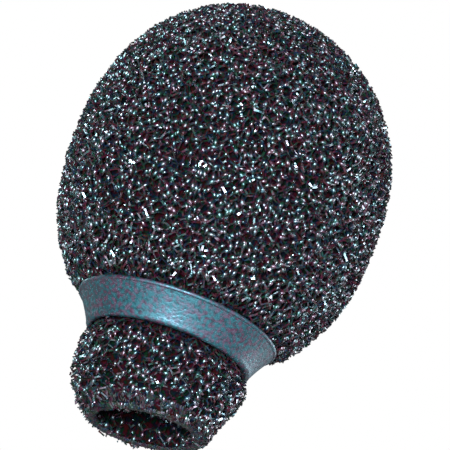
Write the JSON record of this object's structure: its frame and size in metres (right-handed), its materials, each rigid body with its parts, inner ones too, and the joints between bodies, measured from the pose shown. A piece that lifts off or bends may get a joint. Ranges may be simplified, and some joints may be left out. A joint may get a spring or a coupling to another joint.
{
  "type": "foam microphone windscreen",
  "caption": "Egg-shaped open-cell foam windscreen for a miniature microphone, gathered at the neck by a flared rubber retaining band over a hard inner sleeve.",
  "frame": {"origin": "centre of the mouth that the microphone enters, level with the bottom of the foam skirt", "axes": "+Z along the microphone's axis, from the mouth towards the rounded tip"},
  "size_m": [0.0186, 0.0186, 0.0261],
  "materials": {
    "foam": "open-cell reticulated foam with glossy black struts",
    "band_rubber": "satin",
    "sleeve_plastic": "matte"
  },
  "bodies": {
    "root": {"foam_body": "foam", "retaining_band": "band_rubber", "mic_collar": "sleeve_plastic"}
  },
  "joints": []
}
